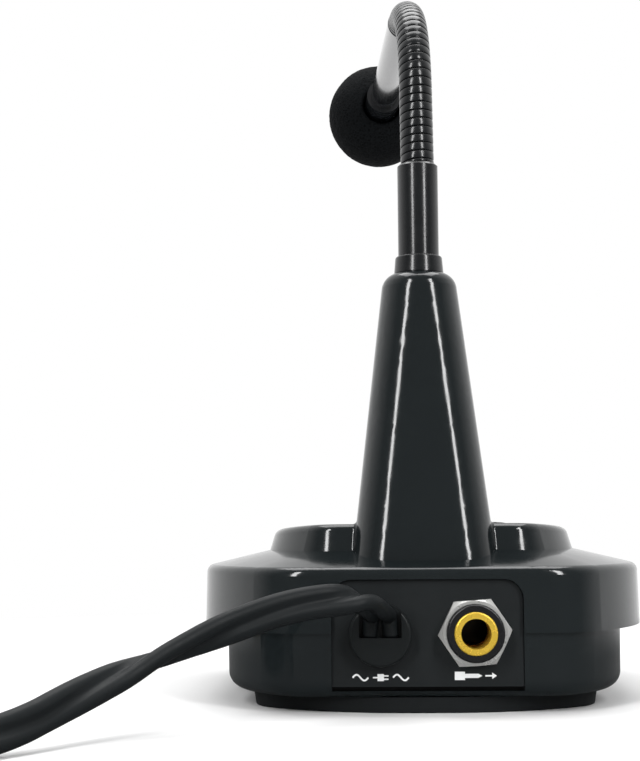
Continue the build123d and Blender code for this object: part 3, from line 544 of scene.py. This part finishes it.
def moulded(name, colour, rough=(0.1, 0.16), grain=((60.0, 0.02), (1.2, 0.001)), vary=0.12, **sockets):
    """Moulded plastic, rubber or paint: slight unevenness of colour, gloss and surface."""
    m = Nodes(name)
    for socket, value in sockets.items():
        m.shader.inputs[socket.replace("_", " ")].default_value = value
    cloud = m.noise(9.0, 4.0)
    m.link(m.mix(cloud, shaded(colour, 1 - vary), shaded(colour, 1 + vary)), m.shader, "Base Color")
    m.link(m.spread(m.noise(2.5, 6.0, 0.65), *rough), m.shader, "Roughness")
    m.bump([(m.noise(size, 2.0), depth) for size, depth in grain])
    return m.material


def metal(name, colour, rough=(0.15, 0.3), grain=((1.5, 0.004),), vary=0.08, metallic=1.0):
    return moulded(name, colour, rough, grain, vary, Metallic=metallic)


def foam(name, colour):
    """Open-cell foam: painted shade in the pores and painted light on the ribs between them."""
    m = Nodes(name)
    cells = m.add("ShaderNodeTexVoronoi", Scale=1000.0 / 0.9, feature="DISTANCE_TO_EDGE")
    m.link(m.place, cells, "Vector")
    ribs_and_pore_shade = m.spread(cells.outputs["Distance"], 1.0, 0.0, 0.02, 0.35)
    # Painted shade and light: pores darkened to 0.45 and ribs lightened to 1.5 of the foam's colour.
    m.link(m.mix(ribs_and_pore_shade, shaded(colour, 0.45), shaded(colour, 1.5)), m.shader, "Base Color")
    m.link(m.spread(m.noise(1.2), 0.85, 1.0), m.shader, "Roughness")
    m.shader.inputs["Specular IOR Level"].default_value = 0.12
    m.bump([(ribs_and_pore_shade, 0.12), (m.noise(3.0, 4.0), 0.1)])
    return m.material


DARK = (0.0095, 0.0125, 0.0135)
SATIN = {"Specular_IOR_Level": 0.25}
MATERIALS = {
    "shell_gloss": moulded("gloss_abs", DARK, (0.09, 0.15), ((45.0, 0.03), (2.5, 0.0012)), IOR=1.5),
    "panel_matte": moulded("matte_abs", (0.0095, 0.0118, 0.0128), (0.42, 0.52),
                           ((0.35, 0.012), (2.0, 0.004)), **SATIN),
    "pad_rubber": moulded("pad_rubber", (0.0085, 0.0105, 0.0115), (0.6, 0.75),
                          ((0.5, 0.02), (3.0, 0.02)), **SATIN),
    "jack_black": moulded("thread_black", (0.008, 0.008, 0.009), (0.18, 0.3)),
    "relief_black": moulded("nylon_black", (0.0085, 0.0105, 0.011), (0.3, 0.42), ((0.6, 0.006),), **SATIN),
    "neck_black": moulded("neck_paint", (0.009, 0.010, 0.011), (0.16, 0.24), ((0.8, 0.002),)),
    "stem_black": moulded("stem_paint", (0.008, 0.009, 0.0105), (0.1, 0.16), ((0.8, 0.0012),), IOR=1.6,
                          Coat_Weight=1.0, Coat_IOR=1.8, Coat_Roughness=0.08),
    "boot_rubber": moulded("boot_rubber", (0.012, 0.012, 0.012), (0.6, 0.7)),
    "foam_black": foam("windscreen_foam", (0.0035, 0.0042, 0.0048)),
    "winding_tape": moulded("winding_tape", (0.6, 0.42, 0.08), (0.3, 0.4)),
    "board_green": moulded("solder_mask", (0.01, 0.09, 0.03), (0.25, 0.35)),
    "board_parts": moulded("component_epoxy", (0.012, 0.012, 0.014), (0.35, 0.5)),
    "button_dark": moulded("button_grey", (0.045, 0.05, 0.055), (0.35, 0.45), ((0.4, 0.006),)),
    "knob_dark": moulded("knob_black", (0.014, 0.015, 0.017), (0.35, 0.45), ((0.4, 0.008),)),
    "lamp_red": moulded("lamp_red", (0.35, 0.01, 0.01), (0.08, 0.12)),
    "print_white": moulded("print_white", (0.8, 0.81, 0.81), (0.5, 0.6), ((0.3, 0.002),), 0.03),
    "lead_pvc": moulded("lead_pvc", (0.012, 0.012, 0.013), (0.4, 0.5)),
    "cord_pvc": moulded("cord_pvc", (0.0085, 0.0105, 0.0115), (0.42, 0.52), ((0.5, 0.006), (6.0, 0.03)),
                        Specular_IOR_Level=0.17),
    "plug_pvc": moulded("plug_pvc", (0.0105, 0.0125, 0.0135), (0.4, 0.5),
                        ((0.4, 0.008), (4.0, 0.02)), **SATIN),
    "weight_steel": metal("weight_steel", (0.35, 0.35, 0.36), (0.35, 0.5)),
    "screw_steel": metal("screw_zinc", (0.62, 0.62, 0.6)),
    "sleeve_gold": metal("sleeve_gold", (0.9, 0.6, 0.07), (0.2, 0.34), metallic=0.55),
    "nut_nickel": metal("nut_nickel", (0.72, 0.72, 0.7), (0.24, 0.38),
                        ((0.5, 0.006), (4.0, 0.01)), metallic=0.6),
    "contact_brass": metal("contact_brass", (0.78, 0.6, 0.28)),
    "capsule_metal": metal("capsule_can", (0.65, 0.65, 0.66)),
    "grille_metal": metal("grille_black", (0.05, 0.05, 0.05), (0.3, 0.45)),
    "core_steel": metal("core_steel", (0.3, 0.3, 0.31), (0.35, 0.5)),
}


def dress(obj, slot):
    obj.data.materials.clear()
    obj.data.materials.append(MATERIALS[slot])


for row in frame["record"]["subparts"]:
    dress(nodes[row["node"]], row["material_slot"])
dress(mains_cord, "cord_pvc")
for core in conductors:
    dress(core, "cord_pvc")
for tie in ties:
    dress(tie, "lead_pvc")
dress(foam_ball, "foam_black")
for skin in neck_skins:
    dress(skin, "neck_black")
for mark in marks:
    dress(mark, "print_white")

# --- stage and light ----------------------------------------------------------------------------
FLOOR_HALF = 0.5


def make_floor():
    """White table whose surface fades away before the horizon; in glossy reflections its colour is a painted dark
    shade.
    """
    m = Nodes("floor_pale")
    seen = m.mix(m.noise(400.0), (0.86, 0.86, 0.86), (0.88, 0.88, 0.88))
    # Painted reflection shade: glossy rays see the floor as dark grey (0.1) instead of white.
    floor_or_reflection_shade = m.add("ShaderNodeMix", data_type="RGBA")
    m.link(m.add("ShaderNodeLightPath").outputs["Is Glossy Ray"], floor_or_reflection_shade, "Factor")
    m.link(seen, floor_or_reflection_shade, 6)
    floor_or_reflection_shade.inputs[7].default_value = (0.1, 0.1, 0.1, 1.0)
    m.link(floor_or_reflection_shade.outputs[2], m.shader, "Base Color")
    m.shader.inputs["Roughness"].default_value = 0.9
    m.shader.inputs["Specular IOR Level"].default_value = 0.1
    distance = m.add("ShaderNodeVectorMath", operation="LENGTH")
    m.link(m.place, distance, 0)
    m.link(m.spread(distance.outputs["Value"], 1.0, 0.0, 0.14, 0.34), m.shader, "Alpha")
    rows, columns = 3, 96
    verts = [(FLOOR_HALF * r / rows * math.cos(a), FLOOR_HALF * r / rows * math.sin(a), 0.0)
             for r in range(1, rows + 1) for a in np.linspace(0, 2 * math.pi, columns, endpoint=False)]
    faces = grid_faces(rows, columns) + [tuple(range(columns))]
    floor = piece("floor", verts, faces, smooth=False)
    floor.data.materials.append(m.material)


def area_light(name, azimuth, elevation, distance, width, height, watts):
    """Softbox on a sphere round the base; azimuth 0 is behind the microphone (+Y), towards +X."""
    az, el = math.radians(azimuth), math.radians(elevation)
    place = Vector((math.sin(az) * math.cos(el), math.cos(az) * math.cos(el), math.sin(el))) * distance
    light = bpy.data.lights.new(name, "AREA")
    light.shape = "RECTANGLE"
    light.size, light.size_y, light.energy = width, height, watts
    obj = bpy.data.objects.new(name, light)
    bpy.context.scene.collection.objects.link(obj)
    obj.location = place + mm(0, 30, 80)
    obj.rotation_euler = (-place).to_track_quat("-Z", "Y").to_euler()


def make_world():
    """White room, darker on the camera's side so that the gloss stays dark."""
    world = bpy.data.worlds.new("studio")
    bpy.context.scene.world = world
    world.use_nodes = True
    tree = world.node_tree
    out = tree.nodes["Background"]
    place = tree.nodes.new("ShaderNodeTexCoord")
    split = tree.nodes.new("ShaderNodeSeparateXYZ")
    ramp = tree.nodes.new("ShaderNodeMapRange")
    path = tree.nodes.new("ShaderNodeLightPath")
    keep = tree.nodes.new("ShaderNodeMath")
    keep.operation = "MAXIMUM"
    for socket, value in (("From Min", 0.4), ("From Max", -0.4), ("To Min", 0.16), ("To Max", 1.0)):
        ramp.inputs[socket].default_value = value
    tree.links.new(place.outputs["Generated"], split.inputs[0])
    tree.links.new(split.outputs["Y"], ramp.inputs["Value"])
    tree.links.new(ramp.outputs["Result"], keep.inputs[0])
    tree.links.new(path.outputs["Is Camera Ray"], keep.inputs[1])
    tree.links.new(keep.outputs[0], out.inputs["Strength"])
    out.inputs["Color"].default_value = (1.0, 1.0, 1.0, 1.0)


make_floor()
make_world()
area_light("strip_left", 32, 30, 1.2, 0.16, 0.9, 8.0)
area_light("strip_right", -36, 30, 1.2, 0.16, 0.9, 8.0)
area_light("top_soft", 180, 75, 1.4, 1.2, 1.0, 14.0)
bpy.context.scene.view_settings.view_transform = "Standard"
